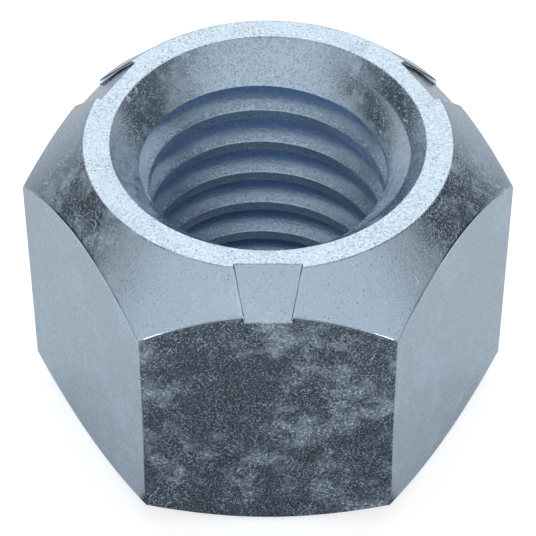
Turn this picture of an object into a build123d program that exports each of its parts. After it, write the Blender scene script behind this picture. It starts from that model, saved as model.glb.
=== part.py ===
from build123d import *
from build123d.topology import SkipClean
import math
import os

# Top lock nut. Millimetres, +Z up, with the origin at the middle of the bearing face.
# One flat of the hexagon faces -Y, and two corners lie on the X axis.

# Hexagonal body
across_flats = 19.05
overall_height = 14.68
corner_rounding = 0.12

# Bearing face at the bottom, with the chamfer that takes the corners back from it
bearing_diameter = 18.35
base_chamfer_angle = 30.0

# Cone at the top: it rises from the six corners to the outer edge of the flat ring
shoulder_height = 11.77
crown_diameter = 16.28
crown_edge_radius = 0.10

# Thread, right-handed: 60 degree basic profile, 13 turns to the inch.
# The depth is that of the groove's middle on the +X side, below the flat ring.
thread_diameter = 12.7
thread_pitch = 25.4 / 13
flank_angle = 30.0
thread_start_depth = 0.815

# Countersinks at the two mouths of the bore, each a little wider than the thread's root
top_mouth_margin = 0.635
base_mouth_margin = 0.5
countersink_angle = 45.0
mouth_edge_radius = 0.08

# Crimps pressed into the cone, on alternate flats
crimp_count = 3
crimp_depth = 0.25
crimp_top_width = 2.81
crimp_base_width = 2.03

# The bore's wall is drawn in equal sectors of a turn
sectors = 12

# A cutter runs this far past the surface that it cuts
overrun = 1.0

corner_radius = across_flats / math.sqrt(3)
flat_distance = across_flats / 2
crown_radius = crown_diameter / 2
cone_run = corner_radius - crown_radius
cone_drop = overall_height - shoulder_height
cone_slope = math.degrees(math.atan2(cone_drop, cone_run))


def tangent(angle):
    return math.tan(math.radians(angle))


# The basic profile: the sharp thread's height, less a quarter at the crest and an eighth at the root
sharp_height = thread_pitch / 2 / tangent(flank_angle)
crest_flat = thread_pitch / 4
root_flat = thread_pitch / 8
thread_depth = sharp_height * 5 / 8
root_radius = thread_diameter / 2
crest_radius = root_radius - thread_depth


def turned_blank():
    """The round blank, with both chamfers turned on it, that the hexagon is cut out of."""
    beyond = corner_radius + overrun
    bearing_radius = bearing_diameter / 2
    base_rise = (beyond - bearing_radius) * tangent(base_chamfer_angle)
    cone_foot = overall_height - (beyond - crown_radius) * tangent(cone_slope)
    outline = Polyline(
        (0, 0),
        (bearing_radius, 0),
        (beyond, base_rise),
        (beyond, cone_foot),
        (crown_radius, overall_height),
        (0, overall_height),
        close=True,
    )
    section = make_face(outline)
    crown_edge = section.vertices().sort_by_distance((crown_radius, overall_height))[0]
    section = fillet(crown_edge, crown_edge_radius)
    return revolve(Plane.XZ * section, Axis.Z)


def hexagon():
    """The hexagonal bar, with its six long edges just broken."""
    outline = RegularPolygon(flat_distance, 6, major_radius=False)
    outline = fillet(outline.vertices(), corner_rounding)
    return extrude(outline, overall_height)


def bore_wall():
    """The plain bore to the thread's crests, its wall drawn in short sectors."""
    step = 360 / sectors
    arcs = [CenterArc((0, 0), crest_radius, i * step, step) for i in range(sectors)]
    return extrude(make_face(arcs), overall_height, clean=False)


def countersink(margin):
    """A countersink's cutter, with its mouth at the origin, opening upwards, its edge rounded over."""
    mouth_radius = root_radius + margin
    depth = mouth_radius / tangent(countersink_angle)
    outline = Polyline(
        (0, -depth),
        (mouth_radius, 0),
        (mouth_radius + overrun, 0),
        (mouth_radius + overrun, overrun),
        (0, overrun),
        close=True,
    )
    section = make_face(outline)
    mouth_edge = section.vertices().sort_by_distance((mouth_radius, 0))[0]
    section = fillet(mouth_edge, mouth_edge_radius)
    return revolve(Plane.XZ * section, Axis.Z)


def thread_groove():
    """The helical groove between the thread's crests, as one-turn cutters that meet end to end."""
    inner_half = (thread_pitch - crest_flat / 2) / 2
    inner_radius = root_radius - (inner_half - root_flat / 2) / tangent(flank_angle)
    outline = Polyline(
        (inner_radius, -inner_half),
        (root_radius, -root_flat / 2),
        (root_radius, root_flat / 2),
        (inner_radius, inner_half),
        close=True,
    )
    section = Plane.XZ * make_face(outline)
    path = Helix(thread_pitch, thread_pitch, crest_radius)
    turn = sweep(section, path=path, is_frenet=True)
    last_turn = overall_height - thread_start_depth
    turns_below = math.ceil(last_turn / thread_pitch) + 1
    heights = [last_turn - i * thread_pitch for i in range(turns_below + 1)]
    return [Pos(0, 0, height) * turn for height in heights]


def crimps():
    """Cutters for the flat-floored crimps, whose floors lie parallel to the cone's slope."""
    slope_run = flat_distance - crown_radius
    slope_length = math.hypot(slope_run, slope_run * tangent(cone_slope))
    taper = (crimp_top_width - crimp_base_width) / 2 / slope_length
    top_half = crimp_top_width / 2 + overrun * taper
    base_half = crimp_base_width / 2 - overrun * taper
    outline = Polyline(
        (-top_half, overrun),
        (top_half, overrun),
        (base_half, -slope_length - overrun),
        (-base_half, -slope_length - overrun),
        close=True,
    )
    floor = Plane(
        origin=(crown_radius, 0, overall_height),
        x_dir=(0, 1, 0),
        z_dir=(math.sin(math.radians(cone_slope)), 0, math.cos(math.radians(cone_slope))),
    )
    cutter = floor * Pos(0, 0, -crimp_depth) * extrude(make_face(outline), overrun)
    return [Rot(0, 0, -90 + i * 360 / crimp_count) * cutter for i in range(crimp_count)]


def lock_nut():
    blank = turned_blank() & hexagon()
    for crimp in crimps():
        blank -= crimp
    with SkipClean():
        bored = blank - bore_wall()
        bored -= Pos(0, 0, overall_height) * countersink(top_mouth_margin)
        bored -= Rot(180, 0, 0) * countersink(base_mouth_margin)
        threaded = bored - thread_groove()
    return threaded


os.makedirs("parts", exist_ok=True)
nut = lock_nut()
export_step(nut, "parts/lock_nut.step")
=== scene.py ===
import math
from types import SimpleNamespace

import bmesh
import bpy
from bpy.props import FloatProperty, FloatVectorProperty, PointerProperty
from bpy.types import Operator, Panel, PropertyGroup
from mathutils import Matrix, Vector


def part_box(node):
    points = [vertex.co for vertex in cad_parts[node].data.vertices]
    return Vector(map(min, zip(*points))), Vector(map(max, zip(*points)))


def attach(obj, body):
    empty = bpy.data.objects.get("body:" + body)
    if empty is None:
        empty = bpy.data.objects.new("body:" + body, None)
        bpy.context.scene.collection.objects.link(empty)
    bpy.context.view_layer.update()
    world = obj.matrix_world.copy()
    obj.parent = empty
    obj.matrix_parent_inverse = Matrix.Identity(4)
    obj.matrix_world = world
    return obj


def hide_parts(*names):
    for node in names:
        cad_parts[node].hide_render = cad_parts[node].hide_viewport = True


bl_info = {
    "name": "Top lock nut",
    "version": (1, 0, 0),
    "blender": (4, 5, 0),
    "location": "3D View > Sidebar > Lock nut",
    "description": "Models a zinc plated top lock nut and the plain studio it stands in",
    "category": "Object",
}

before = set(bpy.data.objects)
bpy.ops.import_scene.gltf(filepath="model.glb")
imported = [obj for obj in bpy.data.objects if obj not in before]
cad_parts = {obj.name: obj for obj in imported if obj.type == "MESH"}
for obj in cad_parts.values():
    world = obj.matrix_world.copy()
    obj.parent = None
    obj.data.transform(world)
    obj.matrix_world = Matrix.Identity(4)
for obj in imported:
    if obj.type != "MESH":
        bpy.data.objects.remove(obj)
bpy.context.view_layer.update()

MM = 0.001
NODE = "lock_nut"
PIECE = "zinc_plated_nut"
BODY = "root"

# The hexagon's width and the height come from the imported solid
nut_low, nut_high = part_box(NODE)
ACROSS_FLATS = nut_high.y - nut_low.y
NUT_HEIGHT = nut_high.z - nut_low.z


def length(label, says, default, precision=5):
    """A property that is a length."""
    return FloatProperty(
        name=label, description=says, default=default, min=0,
        subtype="DISTANCE", unit="LENGTH", precision=precision)


def share(label, says, default):
    """A property that runs from 0 to 1."""
    return FloatProperty(name=label, description=says, default=default, min=0, max=1, subtype="FACTOR")


def level(label, says, default):
    """A property that is a brightness, and may pass 1."""
    return FloatProperty(name=label, description=says, default=default, min=0)


class LockNutSizes(PropertyGroup):
    """Sizes of the nut's body, crimps and countersinks."""
    across_flats: length("Across flats", "Width of the hexagon from flat to flat", ACROSS_FLATS)
    height: length("Height", "From the bearing face to the flat ring at the top", NUT_HEIGHT)
    shoulder_height: length(
        "Shoulder height", "Height at which the cone reaches the six corners", 11.77 * MM)
    crown_diameter: length("Crown diameter", "Outer edge of the flat ring at the top", 16.28 * MM)
    bearing_diameter: length("Bearing diameter", "Outer edge of the bearing face at the bottom", 18.35 * MM)
    base_chamfer: FloatProperty(
        name="Base chamfer", description="Slope of the chamfer round the bearing face",
        default=math.radians(30), subtype="ANGLE", unit="ROTATION")
    top_mouth_margin: length(
        "Top mouth margin",
        "How far the countersink in the flat ring opens past the thread's root", 0.635 * MM)
    base_mouth_margin: length(
        "Base mouth margin",
        "How far the countersink in the bearing face opens past the thread's root", 0.5 * MM)
    crimp_depth: length("Crimp depth", "How far each crimp is pressed into the cone", 0.25 * MM)
    crimp_top_width: length(
        "Crimp width at the top", "Width of a crimp where it meets the flat ring", 2.81 * MM)
    crimp_base_width: length(
        "Crimp width at the base", "Width of a crimp where it meets the flat", 2.03 * MM)
    edge_radius: length("Edge radius", "Softening of every edge by forming and plating", 0.055 * MM)


class LockNutThread(PropertyGroup):
    """Sizes of the right-hand thread, which has the 60 degree basic profile."""
    root_diameter: length("Root diameter", "Diameter at the bottom of the thread's groove", 12.7 * MM)
    pitch: length("Pitch", "Rise of one turn", 25.4 / 13 * MM, precision=6)
    flank_angle: FloatProperty(
        name="Flank angle", description="Slope of each flank from square to the bore",
        default=math.radians(30), subtype="ANGLE", unit="ROTATION")
    start_depth: length(
        "Start depth", "Depth of the groove's middle on the +X side, below the ring", 0.815 * MM)
    crest_rounding: length("Crest rounding", "Radius on the edges of each crest", 0.08 * MM)
    root_rounding: length("Root rounding", "Radius in the corners of the root", 0.06 * MM)


class LockNutFinish(PropertyGroup):
    """Colours and texture of the zinc plating."""
    colour: FloatVectorProperty(
        name="Plating colour", description="Colour of the bluish zinc on the outside",
        default=(0.53, 0.66, 0.785), size=3, min=0, max=1, subtype="COLOR")
    # Painted bounce light: the bore's colour is bluer and paler than outside, standing in for light bounced
    # to and fro between the flanks
    bore_bounce_colour: FloatVectorProperty(
        name="Bore colour", description="Colour of the thicker, bluer zinc in the thread",
        default=(0.57, 0.77, 0.99), size=3, min=0, max=1, subtype="COLOR")
    bore_roughness: share("Bore roughness", "Roughness in the thread", 0.20)
    bore_film: share("Bore film", "How far a dull film hides the metal in the thread", 0.28)
    # Painted glints: pale flecks in the colour beside the crests stand in for sparkling highlights
    painted_crest_glints: share(
        "Crest flecks", "How far pale flecks cover the metal beside the thread's crests", 1.0)
    crest_wear: share("Crest wear", "How far a speckled film hides the metal beside the crests", 0.45)
    bore_relief: FloatProperty(
        name="Bore relief", description="Depth of the plating's grain in the thread, against that outside",
        default=1.3, min=0, max=3)
    smooth_roughness: share("Smooth roughness", "Roughness where the plating is smooth", 0.20)
    cloudy_roughness: share("Cloudy roughness", "Roughness in the cloudy patches", 0.40)
    cloud_size: length("Cloud size", "Width of the cloudy patches", 1.1 * MM)
    grain_size: length("Grain size", "Width of the plating's grains", 0.09 * MM)
    grain_depth: length("Grain depth", "Height of the plating's grains", 0.008 * MM, precision=6)
    speck_darkness: share("Speck darkness", "How dark the pores in the plating are", 0.7)
    film: share("Oxide film", "Strength of the dull film wherever it lies, where 0 is bare metal", 1.0)
    scratch_roughness: share("Scratch roughness", "Roughness in the deepest of the scratches", 0.9)
    scratch_strength: share("Scratch depth", "Depth of the scratches, against the grain's height", 0.6)


class LockNutStudio(PropertyGroup):
    """Brightness of the studio, where 1 is white."""
    back_level: level("Back soft box", "Brightness of the soft box up behind the nut", 1.38)
    side_level: level("Back sides", "Brightness to both sides of the soft box behind the nut", 0.53)
    strip_level: level(
        "Low strip", "Brightness of the low strip light in front, which catches the edges", 1.2)
    front_level: level("Front soft box", "Brightness of the soft box over the camera", 0.70)
    top_level: level("Top soft box", "Brightness of the soft box straight above the nut", 0.37)
    middle_level: level("Top middle", "What a smaller box adds to the middle of the top soft box", 0.26)
    room_level: level("Room", "Brightness of the room beyond the soft boxes", 0.07)
    wing_level: level("Wings", "Brightness of the soft boxes at both sides", 0.5)
    corner_level: level(
        "Corner lights", "Brightness of the small low lamps that the front corners catch", 16.0)
    paper_glow: share("Paper glow", "What the white paper shows beyond the light that falls on it", 0.66)
    mirrored_glow: share("Mirrored glow", "The same, as the metal mirrors it", 0.11)
    side_glow: level("Side glow", "What the paper adds in a patch at each side, for the metal only", 0.7)


def deselect_all():
    """Leaves nothing selected, because an operator acts on all that is selected."""
    if bpy.context.mode != "OBJECT":
        bpy.ops.object.mode_set(mode="OBJECT")
    bpy.ops.object.select_all(action="DESELECT")


def make_only(piece):
    """Selects one object and makes it the active one."""
    deselect_all()
    piece.select_set(True)
    bpy.context.view_layer.objects.active = piece


def apply_place(piece):
    """Moves an object's place, turn and scale into its mesh."""
    make_only(piece)
    bpy.ops.object.transform_apply(location=True, rotation=True, scale=True)


def select_faces(piece, wanted):
    """In edit mode, selects the faces for which wanted(face) is true."""
    bpy.ops.mesh.select_mode(type="FACE")
    bpy.ops.mesh.select_all(action="DESELECT")
    mesh = bmesh.from_edit_mesh(piece.data)
    for face in mesh.faces:
        face.select_set(wanted(face))
    bmesh.update_edit_mesh(piece.data)


def apply_modifier(piece, kind, **settings):
    """Adds a modifier, sets it up and applies it."""
    make_only(piece)
    modifier = piece.modifiers.new(kind.title(), kind)
    for name, value in settings.items():
        setattr(modifier, name, value)
    bpy.ops.object.modifier_apply(modifier=modifier.name)


def combine(piece, cutter, operation):
    """Cuts the piece with the cutter, or keeps what both share, and removes the cutter."""
    apply_modifier(piece, "BOOLEAN", object=cutter, operation=operation, solver="EXACT")
    bpy.data.objects.remove(cutter)


# Steps round the turned surfaces, and how far a cutter runs past what it cuts
ROUND_STEPS = 192
OVERRUN = 1 * MM

# A face whose normal leans this far along an axis faces that way
FACING = 0.5


def cone_slope(sizes):
    """The angle at which the cone rises from the six corners to the ring."""
    run = sizes.across_flats / math.sqrt(3) - sizes.crown_diameter / 2
    return math.atan2(sizes.height - sizes.shoulder_height, run)


def turned_blank(sizes):
    """The round blank with its cone and its base chamfer, before the hexagon is cut."""
    corner_radius = sizes.across_flats / math.sqrt(3)
    crown_radius = sizes.crown_diameter / 2
    bearing_radius = sizes.bearing_diameter / 2
    blank_radius = corner_radius + OVERRUN
    cone_fall = (sizes.height - sizes.shoulder_height) / (corner_radius - crown_radius)
    cone_foot = sizes.height - (blank_radius - crown_radius) * cone_fall
    base_rise = (blank_radius - bearing_radius) * math.tan(sizes.base_chamfer)
    deselect_all()
    bpy.ops.mesh.primitive_cylinder_add(
        vertices=ROUND_STEPS, radius=blank_radius, depth=cone_foot - base_rise,
        location=(0, 0, (cone_foot + base_rise) / 2))
    blank = bpy.context.object
    apply_place(blank)
    bpy.ops.object.mode_set(mode="EDIT")
    select_faces(blank, lambda face: face.normal.z > FACING)
    bpy.ops.mesh.extrude_region_move(
        TRANSFORM_OT_translate={"value": (0, 0, sizes.height - cone_foot)})
    narrow = crown_radius / blank_radius
    bpy.ops.transform.resize(value=(narrow, narrow, 1), center_override=(0, 0, 0))
    select_faces(blank, lambda face: face.normal.z < -FACING)
    bpy.ops.mesh.extrude_region_move(TRANSFORM_OT_translate={"value": (0, 0, -base_rise)})
    narrow = bearing_radius / blank_radius
    bpy.ops.transform.resize(value=(narrow, narrow, 1), center_override=(0, 0, 0))
    bpy.ops.object.mode_set(mode="OBJECT")
    return blank


def hexagon(sizes):
    """The hexagonal bar, with one flat facing -Y and two corners on the X axis."""
    deselect_all()
    bpy.ops.mesh.primitive_cylinder_add(
        vertices=6, radius=sizes.across_flats / math.sqrt(3), depth=sizes.height + 2 * OVERRUN,
        location=(0, 0, sizes.height / 2), rotation=(0, 0, math.radians(30)))
    bar = bpy.context.object
    apply_place(bar)
    return bar


def countersink(mouth_radius, face_height, points_up):
    """A 90 degree cutter that opens to the mouth's radius at the face it is sunk into."""
    radius = mouth_radius + OVERRUN
    middle = face_height + (OVERRUN - radius / 2 if points_up else radius / 2 - OVERRUN)
    deselect_all()
    bpy.ops.mesh.primitive_cone_add(
        vertices=ROUND_STEPS, radius1=0 if points_up else radius, radius2=radius if points_up else 0,
        depth=radius, location=(0, 0, middle))
    cutter = bpy.context.object
    apply_place(cutter)
    return cutter


def crimp_cutter(sizes, turn):
    """A tapered block whose lower face is a crimp's floor, parallel to the cone's slope."""
    crown_radius = sizes.crown_diameter / 2
    slope = cone_slope(sizes)
    floor_length = (sizes.across_flats / 2 - crown_radius) / math.cos(slope)
    taper = (sizes.crimp_top_width - sizes.crimp_base_width) / floor_length
    top_width = sizes.crimp_top_width + OVERRUN * taper
    base_width = sizes.crimp_base_width - OVERRUN * taper
    deselect_all()
    bpy.ops.mesh.primitive_cube_add(size=1)
    cutter = bpy.context.object
    cutter.scale = (top_width, floor_length + 2 * OVERRUN, OVERRUN)
    cutter.location = (0, -floor_length / 2, OVERRUN / 2 - sizes.crimp_depth)
    apply_place(cutter)
    bpy.ops.object.mode_set(mode="EDIT")
    select_faces(cutter, lambda face: face.normal.y < -FACING)
    bpy.ops.transform.resize(value=(base_width / top_width, 1, 1), center_override=(0, 0, 0))
    bpy.ops.object.mode_set(mode="OBJECT")
    lean = Matrix.Translation((0, -crown_radius, sizes.height)) @ Matrix.Rotation(slope, 4, "X")
    cutter.matrix_world = Matrix.Rotation(turn, 4, "Z") @ lean
    apply_place(cutter)
    return cutter


# How many crimps the cone has, on alternate flats
CRIMPS = 3

# An edge is softened where its faces turn by more than this
SOFTENED_TURN = math.radians(18)
EDGE_SEGMENTS = 3

# Points nearer than this are welded into one
WELD = 0.002 * MM


def soften_edges(piece, radius):
    """Rounds every sharp edge by the same small radius."""
    make_only(piece)
    bpy.ops.object.mode_set(mode="EDIT")
    bpy.ops.mesh.select_mode(type="VERT")
    bpy.ops.mesh.select_all(action="SELECT")
    bpy.ops.mesh.remove_doubles(threshold=WELD)
    bpy.ops.mesh.select_mode(type="EDGE")
    bpy.ops.mesh.select_all(action="DESELECT")
    bpy.ops.mesh.edges_select_sharp(sharpness=SOFTENED_TURN)
    bpy.ops.mesh.bevel(offset=radius, segments=EDGE_SEGMENTS, affect="EDGES", clamp_overlap=False)
    bpy.ops.object.mode_set(mode="OBJECT")


# The tap that cuts the thread: steps in a turn, and steps round each small corner
THREAD_STEPS = 144
CORNER_STEPS = 4


def corner(first, middle, last, radius, steps):
    """Points of the arc that rounds the corner at the middle point."""
    to_first = (first - middle).normalized()
    to_last = (last - middle).normalized()
    half = to_first.angle(to_last) / 2
    tangent_length = radius / math.tan(half)
    centre = middle + (to_first + to_last).normalized() * (radius / math.sin(half))
    start = (middle + to_first * tangent_length - centre).normalized()
    end = (middle + to_last * tangent_length - centre).normalized()
    return [centre + start.slerp(end, i / steps) * radius for i in range(steps + 1)]


def crest_radius(thread):
    """The radius to the crests, which stand 5/8 of the sharp thread's height above the root."""
    sharp_height = thread.pitch / 2 / math.tan(thread.flank_angle)
    return thread.root_diameter / 2 - sharp_height * 5 / 8


def tap_outline(thread):
    """One pitch of the tap's edge, from the middle of one crest land to the middle of the next."""
    root = thread.root_diameter / 2
    crest = crest_radius(thread)
    half_pitch = thread.pitch / 2
    half_land = thread.pitch / 8
    half_bottom = thread.pitch / 16
    lip = half_pitch - half_land
    sharp = [Vector(p) for p in (
        (crest, -half_pitch), (crest, -lip), (root, -half_bottom),
        (root, half_bottom), (crest, lip), (crest, half_pitch))]
    radii = (thread.crest_rounding, thread.root_rounding, thread.root_rounding, thread.crest_rounding)
    points = [sharp[0]]
    for i, radius in enumerate(radii):
        points += corner(sharp[i], sharp[i + 1], sharp[i + 2], radius, CORNER_STEPS)
    return points + [sharp[-1]]


def tap(sizes, thread):
    """The threaded tool that cuts the bore: a right-hand screw of its outline, closed at both ends."""
    lowest = sizes.height - thread.start_depth
    turns = math.ceil((sizes.height + 2 * OVERRUN) / thread.pitch) + 2
    lowest -= (turns - 1) * thread.pitch
    deselect_all()
    bpy.ops.mesh.primitive_plane_add(size=MM)
    tool = bpy.context.object
    outline = tap_outline(thread)
    bpy.ops.object.mode_set(mode="EDIT")
    bpy.ops.mesh.delete(type="VERT")
    mesh = bmesh.from_edit_mesh(tool.data)
    corners = [mesh.verts.new((p.x, 0, p.y + lowest)) for p in outline]
    for low, high in zip(corners, corners[1:]):
        mesh.edges.new((low, high))
    bmesh.update_edit_mesh(tool.data)
    bpy.ops.object.mode_set(mode="OBJECT")
    apply_modifier(
        tool, "SCREW", axis="Z", angle=2 * math.pi, screw_offset=thread.pitch, iterations=turns,
        steps=THREAD_STEPS, render_steps=THREAD_STEPS, use_merge_vertices=False)
    bpy.ops.object.mode_set(mode="EDIT")
    bpy.ops.mesh.select_mode(type="VERT")
    bpy.ops.mesh.select_all(action="SELECT")
    bpy.ops.mesh.remove_doubles(threshold=WELD / 2)
    close_end(tool, lambda z: z < sizes.height / 2, lowest)
    close_end(tool, lambda z: z > sizes.height / 2, lowest + turns * thread.pitch)
    bpy.ops.mesh.select_all(action="SELECT")
    bpy.ops.mesh.normals_make_consistent(inside=False)
    bpy.ops.object.mode_set(mode="OBJECT")
    return tool


def close_end(tool, is_end, height):
    """Closes one open end of the tap with a fan to a point on its axis."""
    bpy.ops.mesh.select_mode(type="EDGE")
    bpy.ops.mesh.select_all(action="DESELECT")
    mesh = bmesh.from_edit_mesh(tool.data)
    for edge in mesh.edges:
        edge.select_set(edge.is_boundary and all(is_end(v.co.z) for v in edge.verts))
    bmesh.update_edit_mesh(tool.data)
    bpy.ops.mesh.extrude_edges_move()
    mesh = bmesh.from_edit_mesh(tool.data)
    for vertex in mesh.verts:
        if vertex.select:
            vertex.co = Vector((0, 0, height))
    bmesh.update_edit_mesh(tool.data)
    bpy.ops.mesh.select_mode(type="VERT")
    bpy.ops.mesh.merge(type="CENTER")


# A shaded edge stays crisp where its faces turn by more than this
CRISP_TURN = math.radians(32)


def model_nut(sizes, thread):
    """The whole nut: hexagon and cones, countersinks and crimps, softened edges, and the thread."""
    nut = turned_blank(sizes)
    combine(nut, hexagon(sizes), "INTERSECT")
    root = thread.root_diameter / 2
    combine(nut, countersink(root + sizes.top_mouth_margin, sizes.height, True), "DIFFERENCE")
    combine(nut, countersink(root + sizes.base_mouth_margin, 0, False), "DIFFERENCE")
    for i in range(CRIMPS):
        combine(nut, crimp_cutter(sizes, i * 2 * math.pi / CRIMPS), "DIFFERENCE")
    soften_edges(nut, sizes.edge_radius)
    combine(nut, tap(sizes, thread), "DIFFERENCE")
    nut.name = PIECE
    nut.data.name = PIECE
    make_only(nut)
    bpy.ops.object.shade_smooth_by_angle(angle=CRISP_TURN)
    apply_modifier(nut, "WEIGHTED_NORMAL", mode="FACE_AREA", weight=50, keep_sharp=True)
    return nut


def fill(tree, node, values):
    """Sets a node's inputs from pairs of a key and a value. A value that is a socket is linked."""
    for key, value in values:
        if isinstance(value, bpy.types.NodeSocket):
            tree.links.new(value, node.inputs[key])
        else:
            node.inputs[key].default_value = value


def put(tree, kind, *values, **named):
    """Adds a node. Values fill its inputs in order, and named ones by name."""
    node = tree.nodes.new(kind)
    fill(tree, node, [*enumerate(values), *named.items()])
    return node


def maths(tree, operation, *values):
    """Works out one operation on numbers."""
    node = put(tree, "ShaderNodeMath", *values)
    node.operation = operation
    return node.outputs[0]


def product(tree, first, *others):
    """Multiplies values together."""
    for other in others:
        first = maths(tree, "MULTIPLY", first, other)
    return first


def largest(tree, first, *others):
    """The largest of several values."""
    for other in others:
        first = maths(tree, "MAXIMUM", first, other)
    return first


def dot(tree, first, second):
    """The dot product of two vectors."""
    node = put(tree, "ShaderNodeVectorMath", first, second)
    node.operation = "DOT_PRODUCT"
    return node.outputs["Value"]


def rise(tree, value, low, high):
    """0 below low, 1 above high, and smooth between. With high below low, it falls."""
    node = put(tree, "ShaderNodeMapRange", value, low, high)
    node.interpolation_type = "SMOOTHSTEP"
    return node.outputs[0]


def span(tree, value, low, high):
    """Stretches a mask of 0 to 1 to run from low to high."""
    return put(tree, "ShaderNodeMapRange", value, 0, 1, low, high).outputs[0]


def tint(tree, way, factor, first, second):
    """Blends two colours."""
    node = tree.nodes.new("ShaderNodeMix")
    node.data_type = "RGBA"
    node.blend_type = way
    fill(tree, node, zip((0, 6, 7), (factor, first, second)))
    return node.outputs[2]


def blend(tree, factor, first, second):
    """Blends two numbers."""
    node = tree.nodes.new("ShaderNodeMix")
    fill(tree, node, zip((0, 2, 3), (factor, first, second)))
    return node.outputs[0]


def noise(tree, place, size, detail, roughness):
    """Noise whose features are about as wide as the size."""
    return put(tree, "ShaderNodeTexNoise", Vector=place, Scale=1 / size, Detail=detail,
               Roughness=roughness).outputs["Fac"]


def patches(tree, place, size, detail, roughness, levels):
    """Patches about as wide as the size, as a mask that rises between two levels of noise."""
    return rise(tree, noise(tree, place, size, detail, roughness), *levels)


def group(name, inputs, output):
    """A new shader node group with a float mask as its output, and its tree's two end nodes."""
    tree = bpy.data.node_groups.new(name, "ShaderNodeTree")
    for label, kind, default in inputs:
        socket = tree.interface.new_socket(label, in_out="INPUT", socket_type=kind)
        if default is not None:
            socket.default_value = default
    tree.interface.new_socket(output, in_out="OUTPUT", socket_type="NodeSocketFloat")
    return tree, tree.nodes.new("NodeGroupInput"), tree.nodes.new("NodeGroupOutput")


# Directions square to the scratches, then the spacing of their discs along and across, and their rarity
SHORT_ACROSS = ((1, 0.1, 0.15), (0.5, 0.5, 0.7), (-0.55, 0.45, 0.7))
SHORT_SCRATCH = {"Length": 0.20 * MM, "Thickness": 0.042 * MM, "Rarity": 1.9}
LONG_ACROSS = ((-0.85, -0.3, 0.45), (0.75, -0.2, 0.6))
LONG_SCRATCH = {"Length": 0.9 * MM, "Thickness": 0.055 * MM, "Rarity": 6.0}

# A disc fades in from its rim to its core, which are shares of the discs' spacing
SCRATCH_RIM = 0.42
SCRATCH_CORE = 0.08

# How far the scratches bend, and over what distance
SCRATCH_BEND = 0.08 * MM
SCRATCH_BEND_SPACING = 0.2 * MM


def scratch_group():
    """Thin scratches: where the surface cuts scattered flat discs that all lie square to one direction."""
    tree, given, out = group("thin_scratches", (
        ("Vector", "NodeSocketVector", None),
        ("Across", "NodeSocketVector", (1, 0, 0)),
        ("Length", "NodeSocketFloat", MM),
        ("Thickness", "NodeSocketFloat", MM),
        ("Rarity", "NodeSocketFloat", 1.0),
    ), "Mask")
    place, across = given.outputs["Vector"], given.outputs["Across"]
    per_length = maths(tree, "DIVIDE", 1.0, given.outputs["Length"])
    per_thickness = maths(tree, "DIVIDE", 1.0, given.outputs["Thickness"])
    along = put(tree, "ShaderNodeVectorMath", place, per_length)
    along.operation = "MULTIPLY"
    squeeze = product(tree, dot(tree, place, across), maths(tree, "SUBTRACT", per_thickness, per_length))
    squeezed = put(tree, "ShaderNodeVectorMath", across, squeeze, along.outputs[0])
    squeezed.operation = "MULTIPLY_ADD"
    cells = put(tree, "ShaderNodeTexVoronoi", Vector=squeezed.outputs[0], Scale=1.0, Randomness=1.0)
    line = rise(tree, cells.outputs["Distance"], SCRATCH_RIM, SCRATCH_CORE)
    strength = put(tree, "ShaderNodeSeparateColor", cells.outputs["Color"]).outputs[0]
    strength = maths(tree, "POWER", strength, given.outputs["Rarity"])
    tree.links.new(product(tree, line, strength), out.inputs[0])
    return tree


def scratches(tree, place):
    """Slightly bent scratches every way, as a mask."""
    bend = put(tree, "ShaderNodeTexNoise", Vector=place, Scale=1 / SCRATCH_BEND_SPACING, Detail=1.0)
    bent = put(tree, "ShaderNodeVectorMath", bend.outputs["Color"], (SCRATCH_BEND,) * 3, place)
    bent.operation = "MULTIPLY_ADD"
    one_way = scratch_group()
    layers = []
    for ways, sizes in ((SHORT_ACROSS, SHORT_SCRATCH), (LONG_ACROSS, LONG_SCRATCH)):
        for across in ways:
            layer = tree.nodes.new("ShaderNodeGroup")
            layer.node_tree = one_way
            direction = Vector(across).normalized()
            fill(tree, layer, {"Vector": bent.outputs[0], "Across": direction, **sizes}.items())
            layers.append(layer.outputs[0])
    return largest(tree, *layers)


# The pores: how far apart they lie, their size as a share of that, and how softly they end
PORE_SPACING = 0.15 * MM
PORE_SIZE = 0.25
PORE_FADE = PORE_SIZE / 3


def pores(tree, place):
    """Small dark pores, as a mask."""
    cells = put(tree, "ShaderNodeTexVoronoi", Vector=place, Scale=1 / PORE_SPACING, Randomness=1.0)
    size = put(tree, "ShaderNodeSeparateColor", cells.outputs["Color"]).outputs[0]
    edge = product(tree, size, PORE_SIZE)
    return rise(tree, maths(tree, "SUBTRACT", edge, cells.outputs["Distance"]), 0.0, PORE_FADE)


# The masks that follow the nut's shape fade over this distance
MASK_FADE = 0.04 * MM

# The edges between the cone and the flats, and the crimps' walls, are rubbed smooth this far to both sides
EDGE_REACH = 0.05 * MM
EDGE_FADE = 0.03 * MM
WALL_REACH = 0.10 * MM


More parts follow.
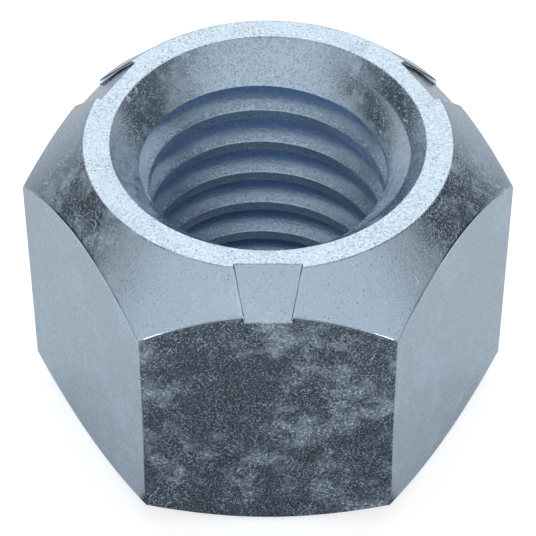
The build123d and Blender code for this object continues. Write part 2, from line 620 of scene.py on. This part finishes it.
def crimp_walls(tree, place, radius, height, sizes):
    """The side walls of the crimps, as a mask, from the crimps' tapering outline seen from above."""
    turns = [i * 2 * math.pi / CRIMPS for i in range(CRIMPS)]
    along = largest(tree, *[dot(tree, place, (math.sin(turn), -math.cos(turn), 0)) for turn in turns])
    side = maths(tree, "SUBTRACT", maths(tree, "POWER", radius, 2.0), maths(tree, "POWER", along, 2.0))
    side = maths(tree, "SQRT", maths(tree, "MAXIMUM", side, 0.0))
    crown_radius = sizes.crown_diameter / 2
    flat_distance = sizes.across_flats / 2
    half = put(tree, "ShaderNodeMapRange", along, crown_radius, flat_distance,
               sizes.crimp_top_width / 2, sizes.crimp_base_width / 2)
    off_wall = maths(tree, "ABSOLUTE", maths(tree, "SUBTRACT", side, half.outputs[0]))
    slope = cone_slope(sizes)
    cone_at_flat = sizes.height - (flat_distance - crown_radius) * math.tan(slope)
    foot = cone_at_flat - sizes.crimp_depth / math.cos(slope)
    top_end = crown_radius - sizes.crimp_depth / math.sin(slope)
    return product(
        tree,
        rise(tree, off_wall, WALL_REACH + MASK_FADE, WALL_REACH),
        rise(tree, height, foot, foot + MASK_FADE),
        rise(tree, height, sizes.height, sizes.height - MASK_FADE),
        rise(tree, along, top_end - MASK_FADE, top_end))


def rubbed_edges(tree, place, radius, height, sizes):
    """The six edges between the cone and the flats, as a mask, from the place where both surfaces meet."""
    turns = (0, math.radians(60), math.radians(-60))
    ways = [dot(tree, place, (math.sin(turn), math.cos(turn), 0)) for turn in turns]
    reach = largest(tree, *[maths(tree, "ABSOLUTE", way) for way in ways])
    off_flat = maths(tree, "SUBTRACT", sizes.across_flats / 2, reach)
    slope = cone_slope(sizes)
    outwards = maths(tree, "SUBTRACT", radius, sizes.crown_diameter / 2)
    downwards = maths(tree, "SUBTRACT", sizes.height, height)
    off_cone = maths(tree, "SUBTRACT", product(tree, downwards, math.cos(slope)),
                     product(tree, outwards, math.sin(slope)))
    off_edge = largest(tree, off_flat, maths(tree, "ABSOLUTE", off_cone))
    return rise(tree, off_edge, EDGE_REACH + EDGE_FADE, EDGE_REACH)


# The bore's plating begins below both countersinks' slopes, and reaches this far past the thread's root
BORE_MARGIN = 0.05 * MM

# The metal beside the crests is rubbed and carries painted glints, less and less out to this distance, and
# their lands this much
CREST_WEAR_REACH = 0.45 * MM
LAND_WEAR = 0.2

# The depth that counts as the ring, and the depths between which the thread's runout, with its painted
# highlight tint, ends
RING_DEPTH = 0.06 * MM
RUNOUT_FULL = 1.0 * MM
RUNOUT_END = 2.0 * MM


def place_masks(tree, place, sizes, thread):
    """Masks for the parts of the nut whose plating differs."""
    across_x, across_y, height = put(tree, "ShaderNodeSeparateXYZ", place).outputs
    square = maths(tree, "ADD", maths(tree, "POWER", across_x, 2.0), maths(tree, "POWER", across_y, 2.0))
    radius = maths(tree, "SQRT", square)
    root_radius = thread.root_diameter / 2
    top_mouth = root_radius + sizes.top_mouth_margin
    base_mouth = root_radius + sizes.base_mouth_margin
    past_top = maths(tree, "SUBTRACT", maths(tree, "ADD", radius, sizes.height - top_mouth), height)
    past_base = maths(tree, "ADD", maths(tree, "SUBTRACT", radius, base_mouth), height)
    past_mouths = rise(tree, maths(tree, "MINIMUM", past_top, past_base), MASK_FADE / 2, 3 * MASK_FADE / 2)
    bore_edge = root_radius + BORE_MARGIN
    bore = product(tree, past_mouths, rise(tree, radius, bore_edge + MASK_FADE, bore_edge))
    crests = crest_radius(thread)
    near_crest = rise(tree, radius, crests + CREST_WEAR_REACH, crests)
    land = rise(tree, radius, crests + 2 * MASK_FADE, crests + MASK_FADE)
    crest = product(tree, near_crest, span(tree, land, 1.0, LAND_WEAR))
    edges = largest(tree, rubbed_edges(tree, place, radius, height, sizes),
                    crimp_walls(tree, place, radius, height, sizes))
    return SimpleNamespace(
        bore=bore,
        outside=span(tree, bore, 1.0, 0.0),
        mouth=rise(tree, radius, top_mouth, top_mouth - MASK_FADE),
        crest=crest,
        bore_crest=product(tree, bore, crest),
        ring=rise(tree, height, sizes.height - RING_DEPTH, sizes.height - RING_DEPTH / 2),
        runout=rise(tree, height, sizes.height - RUNOUT_END, sizes.height - RUNOUT_FULL),
        edges=edges)


# Noise patterns: detail and roughness, and the levels between which a pattern rises from 0 to 1
CLOUD_NOISE = {"detail": 6, "roughness": 0.6}
CLUSTER_NOISE = {"detail": 2, "roughness": 0.5}
GRAIN_NOISE = {"detail": 2, "roughness": 0.6}
CLOUD_LEVELS = (0.84, 1.16)
WEAR_PATTERN = {"detail": 3, "roughness": 0.6, "levels": (0.35, 0.62)}
FLECK_PATTERN = {"detail": 3, "roughness": 0.7, "levels": (0.42, 0.58)}
SPARKLE_PATTERN = {"detail": 3, "roughness": 0.7, "levels": (0.47, 0.57)}
CLUMP_PATTERN = {"detail": 2, "roughness": 0.6, "levels": (0.40, 0.62)}
SPECKLE_PATTERN = {"detail": 2, "roughness": 0.6, "levels": (0.48, 0.62)}

# The cloudy patches gather in clusters this much wider than a patch, whose noise is added at this strength
CLUSTER_SPREAD = 3.6
CLUSTER_STRENGTH = 0.8

# The scratches thin out, down to this much, over areas this much wider than a patch
WEAR_SPREAD = 1.2
WEAR_LEAST = 0.5

# The flecks, the speckle and the sparkle beside the crests are this much wider than a grain
FLECK_SPREAD = 1.7
SPECKLE_SPREAD = 1.15
SPARKLE_SPREAD = 1.4

# The sparkle gathers in clumps of this size, and thins out to this much between them
CLUMP_SIZE = 0.35 * MM
SPARKLE_LEAST = 0.3

# The pores' strength everywhere but on the ring, where it is 1
PORES_BELOW = 0.6


def pattern_masks(tree, place, finish, where):
    """Masks for the plating's own patterns."""
    broad = noise(tree, place, finish.cloud_size, **CLOUD_NOISE)
    cluster = noise(tree, place, finish.cloud_size * CLUSTER_SPREAD, **CLUSTER_NOISE)
    clouds = maths(tree, "ADD", broad, product(tree, cluster, CLUSTER_STRENGTH))
    wear = patches(tree, place, finish.cloud_size * WEAR_SPREAD, **WEAR_PATTERN)
    sparkle = patches(tree, place, finish.grain_size * SPARKLE_SPREAD, **SPARKLE_PATTERN)
    clump = patches(tree, place, CLUMP_SIZE, **CLUMP_PATTERN)
    return SimpleNamespace(
        clouds=product(tree, rise(tree, clouds, *CLOUD_LEVELS), where.outside),
        grain=noise(tree, place, finish.grain_size, **GRAIN_NOISE),
        wear=wear,
        flecks=patches(tree, place, finish.grain_size * FLECK_SPREAD, **FLECK_PATTERN),
        speckle=patches(tree, place, finish.grain_size * SPECKLE_SPREAD, **SPECKLE_PATTERN),
        sparkle=product(tree, sparkle, span(tree, clump, SPARKLE_LEAST, 1.0)),
        pores=product(tree, pores(tree, place), span(tree, where.ring, PORES_BELOW, 1.0)),
        marks=product(tree, scratches(tree, place), span(tree, wear, WEAR_LEAST, 1.0), where.outside))


# The ring and the thread's runout get this paler, whiter tint, this much of it: a painted highlight that
# stands in for the whiteness of their bright reflections
HIGHLIGHT_TINT = (0.63, 0.73, 0.81, 1)
RING_HIGHLIGHT_SHARE = 0.45
RUNOUT_HIGHLIGHT_SHARE = 0.6

# How much of the bore's painted bounce blue there is on the countersinks
MOUTH_BOUNCE_BLUE = 0.12

# The colour of the painted glints beside the crests, pale flecks that stand in for sparkling highlights
PAINTED_GLINT_COLOUR = (0.85, 0.95, 1.0, 1)

# How each pattern shades the colour, where 1 leaves it alone: from where it is 0 to where it is 1
CLOUD_SHADES = (0.97, 1.15)
GRAIN_SHADES = (0.86, 1.12)
MARK_SHADES = (1.0, 1.5)

# The shade of the gaps between flecks on the ring and in the bore, of the painted shade between the painted
# glints beside the crests, and of the mouth's dots
RING_GAPS = 0.66
BORE_GAPS = 0.8
GLINT_GAP_SHADE = 0.7
MOUTH_DOTS = 0.76

# How far the ring's gaps close over in patches
RING_PATCHES = 0.6


def plating_colour(tree, finish, where, pattern):
    """Bluish zinc shaded by its patterns, with painted bounce light that makes the bore bluer and paler, a
    painted highlight's whiter tint on the ring and the runout, and painted glints beside the crests.
    """
    # Painted bounce light: the bore, and a little of the countersinks, get the bluer, paler colour
    blue = largest(tree, where.bore, product(tree, where.mouth, MOUTH_BOUNCE_BLUE))
    colour = tint(tree, "MIX", blue, (*finish.colour, 1), (*finish.bore_bounce_colour, 1))
    # Painted highlight: a paler, whiter tint on the ring and the runout
    runout = product(tree, where.bore, RUNOUT_HIGHLIGHT_SHARE, where.runout)
    pale = largest(tree, product(tree, where.ring, RING_HIGHLIGHT_SHARE), runout)
    colour = tint(tree, "MIX", pale, colour, HIGHLIGHT_TINT)
    on_ring = largest(tree, pattern.flecks, span(tree, pattern.wear, 0.0, RING_PATCHES))
    ring_gaps = product(tree, where.ring, span(tree, on_ring, 1.0, 0.0))
    bore_gaps = product(tree, where.bore, span(tree, pattern.flecks, 1.0, 0.0))
    # Painted shade between the painted glints beside the crests
    glint_gaps = product(tree, where.bore_crest, span(tree, pattern.sparkle, 1.0, 0.0))
    dots = product(tree, where.mouth, where.outside, pattern.speckle)
    shade = product(
        tree,
        span(tree, pattern.clouds, *CLOUD_SHADES),
        span(tree, pattern.grain, *GRAIN_SHADES),
        span(tree, pattern.marks, *MARK_SHADES),
        span(tree, pattern.pores, 1.0, 1 - finish.speck_darkness),
        span(tree, ring_gaps, 1.0, RING_GAPS),
        span(tree, bore_gaps, 1.0, BORE_GAPS),
        span(tree, glint_gaps, 1.0, GLINT_GAP_SHADE),
        span(tree, dots, 1.0, MOUTH_DOTS))
    tone = put(tree, "ShaderNodeCombineColor", shade, shade, shade).outputs[0]
    colour = tint(tree, "MULTIPLY", 1.0, colour, tone)
    # Painted glints: pale flecks beside the crests that stand in for sparkling highlights
    painted_glints = product(tree, where.bore_crest, pattern.sparkle, finish.painted_crest_glints)
    return tint(tree, "MIX", painted_glints, colour, PAINTED_GLINT_COLOUR)


# The roughness of the rubbed edges and the crimps' walls
EDGE_ROUGHNESS = 0.12


def plating_roughness(tree, finish, where, pattern):
    """Rougher in the clouds and the scratches, even in the bore, and smooth on the rubbed edges."""
    roughness = span(tree, pattern.clouds, finish.smooth_roughness, finish.cloudy_roughness)
    roughness = largest(tree, roughness, span(tree, pattern.marks, 0.0, finish.scratch_roughness))
    roughness = blend(tree, where.bore, roughness, finish.bore_roughness)
    roughness = blend(tree, where.bore_crest, roughness, finish.smooth_roughness)
    return blend(tree, where.edges, roughness, EDGE_ROUGHNESS)


# The film's strength in the clouds, by the flecks and by the speckle that break them up
FILM_BY_FLECKS = (0.08, 0.76)
FILM_BY_SPECKLE = (0.4, 1.6)

# The film's strength in the speckle outside the bore, and how much of the film is left on the countersinks
SPECKLE_FILM = 0.24
MOUTH_FILM = 0.6


def plating_film(tree, finish, where, pattern):
    """The dull film that hides the metal in clouds, scratches and specks, and all over the bore."""
    veil = product(tree, pattern.clouds, span(tree, pattern.flecks, *FILM_BY_FLECKS),
                   span(tree, pattern.speckle, *FILM_BY_SPECKLE))
    specks = product(tree, pattern.speckle, SPECKLE_FILM)
    film = maths(tree, "ADD", largest(tree, veil, pattern.marks), specks)
    film = product(tree, film, span(tree, where.mouth, 1.0, MOUTH_FILM))
    worn = product(tree, where.crest, pattern.sparkle, finish.crest_wear)
    film = blend(tree, where.bore, film, maths(tree, "ADD", worn, finish.bore_film))
    return product(tree, film, span(tree, where.edges, 1.0, 0.0), finish.film)


# The grain is deeper by this factor beside the crests than elsewhere in the bore
CREST_RELIEF = 1.8


def plating_relief(tree, finish, where, pattern):
    """The plating's grain, with scratches and pores sunk in it. The rubbed edges have none."""
    relief = maths(tree, "SUBTRACT", pattern.grain, product(tree, pattern.marks, finish.scratch_strength))
    relief = maths(tree, "SUBTRACT", relief, pattern.pores)
    relief = product(tree, relief, span(tree, where.bore, 1.0, finish.bore_relief),
                     span(tree, where.bore_crest, 1.0, CREST_RELIEF), span(tree, where.edges, 1.0, 0.0))
    return put(tree, "ShaderNodeBump", Strength=1.0, Distance=finish.grain_depth, Height=relief).outputs[0]


def plating(finish, sizes, thread):
    """The zinc plating: one material for the whole nut."""
    material = bpy.data.materials.new("zinc_plating")
    material.use_nodes = True
    tree = material.node_tree
    place = tree.nodes.new("ShaderNodeTexCoord").outputs["Object"]
    where = place_masks(tree, place, sizes, thread)
    pattern = pattern_masks(tree, place, finish, where)
    film = plating_film(tree, finish, where, pattern)
    fill(tree, tree.nodes["Principled BSDF"], {
        "Base Color": plating_colour(tree, finish, where, pattern),
        "Roughness": plating_roughness(tree, finish, where, pattern),
        "Metallic": span(tree, film, 1.0, 0.0),
        "Normal": plating_relief(tree, finish, where, pattern),
    }.items())
    return material


class LOCKNUT_OT_nut(Operator):
    """Model the nut and give it its plating"""
    bl_idname = "locknut.nut"
    bl_label = "Nut"

    def execute(self, context):
        scene = context.scene
        sizes, thread = scene.lock_nut_sizes, scene.lock_nut_thread
        nut = model_nut(sizes, thread)
        nut.data.materials.clear()
        nut.data.materials.append(plating(scene.lock_nut_finish, sizes, thread))
        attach(nut, BODY)
        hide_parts(NODE)
        return {"FINISHED"}


class LOCKNUT_OT_studio(Operator):
    """Lay the floor, hang the lights and place the camera"""
    bl_idname = "locknut.studio"
    bl_label = "Studio"

    def execute(self, context):
        studio = context.scene.lock_nut_studio
        lay_floor(studio)
        lay_dark_sheets()
        hang_lights(studio)
        place_camera()
        context.scene.view_settings.view_transform = "Standard"
        context.scene.cycles.glossy_bounces = BORE_BOUNCES
        return {"FINISHED"}


# The light may go to and fro this often between the thread's flanks
BORE_BOUNCES = 12

FLOOR_SIZE = 4.0
PAPER_WHITE = (0.75, 0.75, 0.75, 1)

# For the metal, the paper's glow sets in between the first two distances from the bore's axis,
# and fades out between the other two
GLOW_FROM = 8 * MM
GLOW_TO = 10 * MM
GLOW_FADES = 40 * MM
GLOW_END = 100 * MM

# In a patch at each side, which the crimps behind mirror, the metal sees the paper glow more
SIDE_GLOW_PLACE = (46 * MM, -2 * MM)
SIDE_GLOW_HALF_SIZE = (12 * MM, 7 * MM)
SIDE_GLOW_FADE = 3 * MM


def lay_floor(studio):
    """White paper. It takes the nut's shadow, and glows besides, for the camera and less for the metal."""
    deselect_all()
    bpy.ops.mesh.primitive_plane_add(size=FLOOR_SIZE)
    floor = bpy.context.object
    floor.name = "floor"
    material = bpy.data.materials.new("white_paper")
    material.use_nodes = True
    tree = material.node_tree
    tree.nodes.remove(tree.nodes["Principled BSDF"])
    paper = put(tree, "ShaderNodeBsdfDiffuse", PAPER_WHITE)
    place = tree.nodes.new("ShaderNodeTexCoord").outputs["Object"]
    reach = put(tree, "ShaderNodeVectorMath", place)
    reach.operation = "LENGTH"
    distance = reach.outputs["Value"]
    near = product(tree, rise(tree, distance, GLOW_FROM, GLOW_TO), rise(tree, distance, GLOW_END, GLOW_FADES))
    place_x, place_y = put(tree, "ShaderNodeSeparateXYZ", place).outputs[:2]
    off_x = maths(tree, "SUBTRACT", maths(tree, "ABSOLUTE", place_x), SIDE_GLOW_PLACE[0])
    off_y = maths(tree, "SUBTRACT", place_y, SIDE_GLOW_PLACE[1])
    beside = product(tree, *[
        rise(tree, maths(tree, "ABSOLUTE", off), half_size + SIDE_GLOW_FADE, half_size)
        for off, half_size in zip((off_x, off_y), SIDE_GLOW_HALF_SIZE)])
    rays = tree.nodes.new("ShaderNodeLightPath").outputs
    mirrored = maths(tree, "ADD", rays["Is Glossy Ray"], rays["Is Transmission Ray"])
    around = product(tree, near, studio.mirrored_glow)
    at_sides = product(tree, beside, studio.side_glow)
    mirrored = product(tree, mirrored, maths(tree, "ADD", around, at_sides))
    direct = product(tree, rays["Is Camera Ray"], studio.paper_glow)
    glow = put(tree, "ShaderNodeEmission", Strength=maths(tree, "ADD", direct, mirrored))
    both = put(tree, "ShaderNodeAddShader", paper.outputs[0], glow.outputs[0])
    tree.links.new(both.outputs[0], tree.nodes["Material Output"].inputs["Surface"])
    floor.data.materials.append(material)


# The dark card lies on the paper before the front flat, just out of the frame
CARD_WIDTH = 17 * MM
CARD_NEAR = 8.6 * MM
CARD_FAR = 30 * MM
CARD_HEIGHT = 0.05 * MM
CARD_COLOUR = (0.105, 0.105, 0.12, 1)

# The two dark flags stand at the sides, and the edges between the cone and the side flats mirror them
FLAG_PLACE = (30 * MM, -3 * MM, 11.5 * MM)
FLAG_LENGTH = 18 * MM
FLAG_HEIGHT = 8 * MM
FLAG_COLOUR = (0.02, 0.02, 0.02, 1)

SHEET_ROUGHNESS = 0.9


def dark_sheet(name, place, size, turn, colour):
    """A dark sheet that only reflections see."""
    deselect_all()
    bpy.ops.mesh.primitive_plane_add(size=1, location=place, rotation=turn)
    sheet = bpy.context.object
    sheet.name = name
    sheet.scale = (*size, 1)
    apply_place(sheet)
    material = bpy.data.materials.new(name)
    material.use_nodes = True
    shader = material.node_tree.nodes["Principled BSDF"]
    shader.inputs["Base Color"].default_value = colour
    shader.inputs["Roughness"].default_value = SHEET_ROUGHNESS
    shader.inputs["Specular IOR Level"].default_value = 0
    sheet.data.materials.append(material)
    sheet.visible_camera = False
    sheet.visible_diffuse = False
    sheet.visible_shadow = False


def lay_dark_sheets():
    """The card that darkens the front flat, and the flags that give the side edges their dark lines."""
    card_place = (0, -(CARD_FAR + CARD_NEAR) / 2, CARD_HEIGHT)
    dark_sheet("dark_card", card_place, (CARD_WIDTH, CARD_FAR - CARD_NEAR), (0, 0, 0), CARD_COLOUR)
    for side, sign in (("left", -1), ("right", 1)):
        place = (sign * FLAG_PLACE[0], FLAG_PLACE[1], FLAG_PLACE[2])
        dark_sheet(side + "_flag", place, (FLAG_HEIGHT, FLAG_LENGTH), (0, math.radians(90), 0), FLAG_COLOUR)


# The soft boxes. They face the foot of the nut, but for the two above, which face straight down.
BACK_BOX = {"place": (0, 0.36, 0.34), "width": 0.55, "height": 0.5}
BACK_SIDES = {"place": (0, 0.40, 0.36), "width": 1.3, "height": 0.6}
LOW_STRIP = {"place": (0, -0.6, 0.09), "width": 0.8, "height": 0.08}
FRONT_BOX = {"place": (0, -0.35, 0.35), "width": 1.6, "height": 0.4}
TOP_BOX = {"place": (0, -0.04, 0.6), "aim": (0, -0.04, 0), "width": 1.0, "height": 0.36}
TOP_MIDDLE = {"place": (0, -0.08, 0.58), "aim": (0, -0.08, 0), "width": 0.40, "height": 0.28}

# The wings carry the front soft box's light round to the cone's dark sides
WING_PLACE = (0.7, -0.10, 0.38)
WING_SIZE = {"width": 0.18, "height": 0.3}

# The small lamps stand low in front, to both sides of the camera
LAMP_PLACE = (0.225, -0.44, 0.055)
LAMP_SIZE = {"width": 0.045, "height": 0.045}

# The room beyond the soft boxes is bluish
ROOM_COLOUR = (0.78, 0.90, 1.0, 1)


def soft_box(name, brightness, place, width, height, aim=(0, 0, 0)):
    """A rectangular area light whose face has the brightness given, where 1 is white."""
    light = bpy.data.lights.new(name, "AREA")
    light.shape = "RECTANGLE"
    light.size = width
    light.size_y = height
    light.energy = brightness * math.pi * width * height
    box = bpy.data.objects.new(name, light)
    box.visible_camera = False
    box.location = place
    box.rotation_euler = (Vector(aim) - Vector(place)).to_track_quat("-Z", "Y").to_euler()
    bpy.context.scene.collection.objects.link(box)


def hang_lights(studio):
    """Soft boxes on every side and above, two small lamps low in front, and a dim room."""
    soft_box("back_soft_box", studio.back_level - studio.side_level, **BACK_BOX)
    soft_box("back_side_box", studio.side_level, **BACK_SIDES)
    soft_box("low_front_strip", studio.strip_level, **LOW_STRIP)
    soft_box("front_soft_box", studio.front_level, **FRONT_BOX)
    soft_box("top_soft_box", studio.top_level, **TOP_BOX)
    soft_box("top_middle_box", studio.middle_level, **TOP_MIDDLE)
    for side, sign in (("left", -1), ("right", 1)):
        mirror = Matrix.Diagonal((sign, 1, 1))
        soft_box(side + "_wing", studio.wing_level, mirror @ Vector(WING_PLACE), **WING_SIZE)
        soft_box(side + "_lamp", studio.corner_level, mirror @ Vector(LAMP_PLACE), **LAMP_SIZE)
    world = bpy.data.worlds.new("room")
    bpy.context.scene.world = world
    world.use_nodes = True
    background = world.node_tree.nodes["Background"]
    background.inputs["Color"].default_value = ROOM_COLOUR
    background.inputs["Strength"].default_value = studio.room_level


# The photograph's viewpoint, from a fit to the nut's corners
CAMERA_ELEVATION = math.radians(44.96)
CAMERA_DISTANCE = 118.8 * MM
AIM_HEIGHT = 6.65 * MM
CAMERA_LENS = 172.85
CAMERA_SENSOR = 36


def place_camera():
    """The camera, level and square to the front flat, looking down at the middle of the nut."""
    data = bpy.data.cameras.new("camera")
    data.lens = CAMERA_LENS
    data.sensor_width = CAMERA_SENSOR
    data.clip_start = MM
    camera = bpy.data.objects.new("camera", data)
    aim = Vector((0, 0, AIM_HEIGHT))
    back = Vector((0, -math.cos(CAMERA_ELEVATION), math.sin(CAMERA_ELEVATION)))
    camera.location = aim + back * CAMERA_DISTANCE
    camera.rotation_euler = (-back).to_track_quat("-Z", "Y").to_euler()
    bpy.context.scene.collection.objects.link(camera)
    bpy.context.scene.camera = camera


class LOCKNUT_PT_panel(Panel):
    """Sizes and buttons for the lock nut"""
    bl_idname = "LOCKNUT_PT_panel"
    bl_label = "Lock nut"
    bl_space_type = "VIEW_3D"
    bl_region_type = "UI"
    bl_category = "Lock nut"

    def draw(self, context):
        scene = context.scene
        for settings in (
                scene.lock_nut_sizes, scene.lock_nut_thread, scene.lock_nut_finish, scene.lock_nut_studio):
            for name in settings.__annotations__:
                self.layout.prop(settings, name)
        self.layout.operator(LOCKNUT_OT_nut.bl_idname)
        self.layout.operator(LOCKNUT_OT_studio.bl_idname)


classes = (
    LockNutSizes, LockNutThread, LockNutFinish, LockNutStudio,
    LOCKNUT_OT_nut, LOCKNUT_OT_studio, LOCKNUT_PT_panel)


def register():
    for item in classes:
        bpy.utils.register_class(item)
    bpy.types.Scene.lock_nut_sizes = PointerProperty(type=LockNutSizes)
    bpy.types.Scene.lock_nut_thread = PointerProperty(type=LockNutThread)
    bpy.types.Scene.lock_nut_finish = PointerProperty(type=LockNutFinish)
    bpy.types.Scene.lock_nut_studio = PointerProperty(type=LockNutStudio)


def unregister():
    del bpy.types.Scene.lock_nut_studio
    del bpy.types.Scene.lock_nut_finish
    del bpy.types.Scene.lock_nut_thread
    del bpy.types.Scene.lock_nut_sizes
    for item in reversed(classes):
        bpy.utils.unregister_class(item)


def main():
    register()
    bpy.ops.locknut.nut()
    bpy.ops.locknut.studio()


if __name__ == "__main__":
    main()
